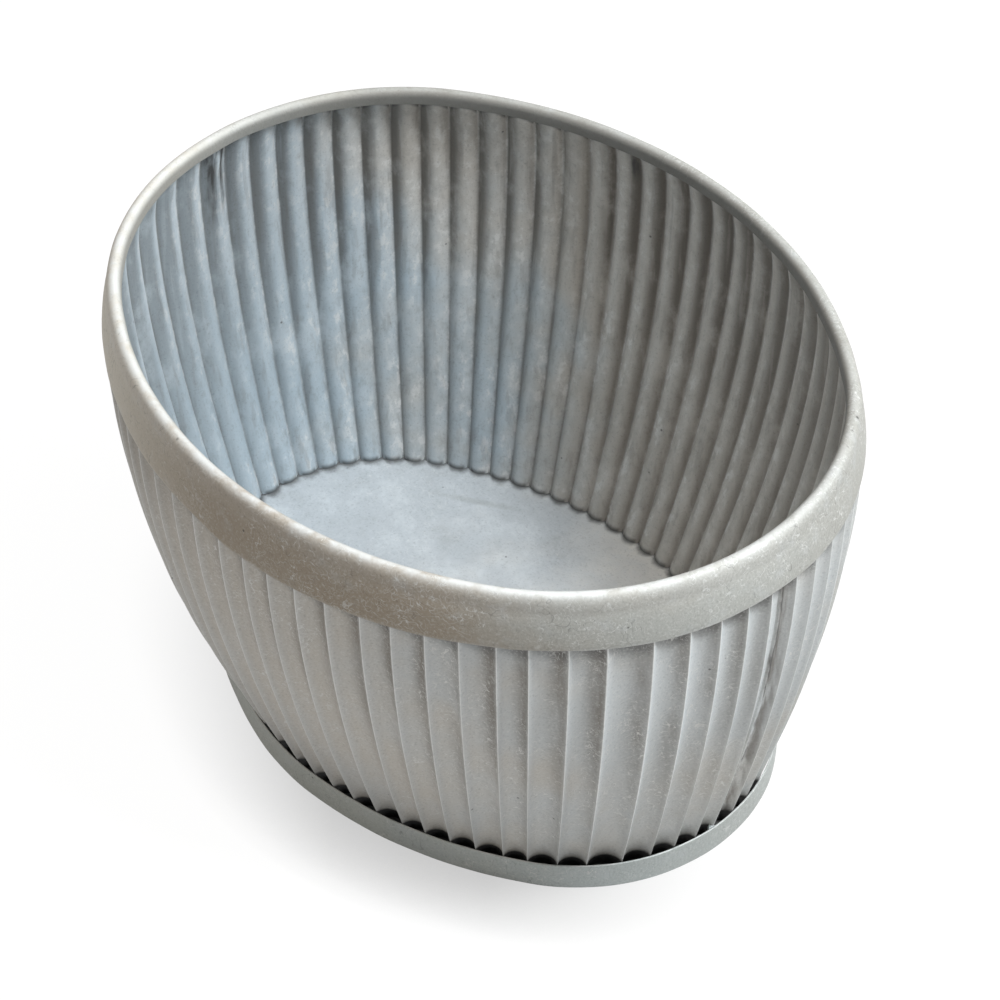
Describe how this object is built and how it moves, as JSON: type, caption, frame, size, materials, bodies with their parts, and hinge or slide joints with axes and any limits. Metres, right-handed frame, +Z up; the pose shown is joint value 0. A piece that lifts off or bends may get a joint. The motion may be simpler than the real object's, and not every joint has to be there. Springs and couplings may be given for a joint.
{
  "type": "oval planter",
  "caption": "Open oval planter of fluted zinc sheet: a bellied wall between a smooth folded rim band and a plain foot band, on a flat floor, for plants and soil.",
  "frame": {"origin": "centre of the foot band on the ground", "axes": "+Z up out of the open mouth, +X along the oval's length through both seams"},
  "size_m": [0.5309, 0.431, 0.301],
  "materials": {
    "wall_zinc": "aged matt zinc",
    "band_zinc": "aged matt zinc with fine scratches",
    "floor_zinc": "bright matt zinc",
    "solder": "dull oxidised solder"
  },
  "bodies": {
    "root": {"front_wall_sheet": "wall_zinc", "back_wall_sheet": "wall_zinc", "rim_band": "band_zinc", "foot_band": "band_zinc", "floor_plate": "floor_zinc", "right_seam_solder": "solder", "left_seam_solder": "solder"}
  },
  "joints": []
}
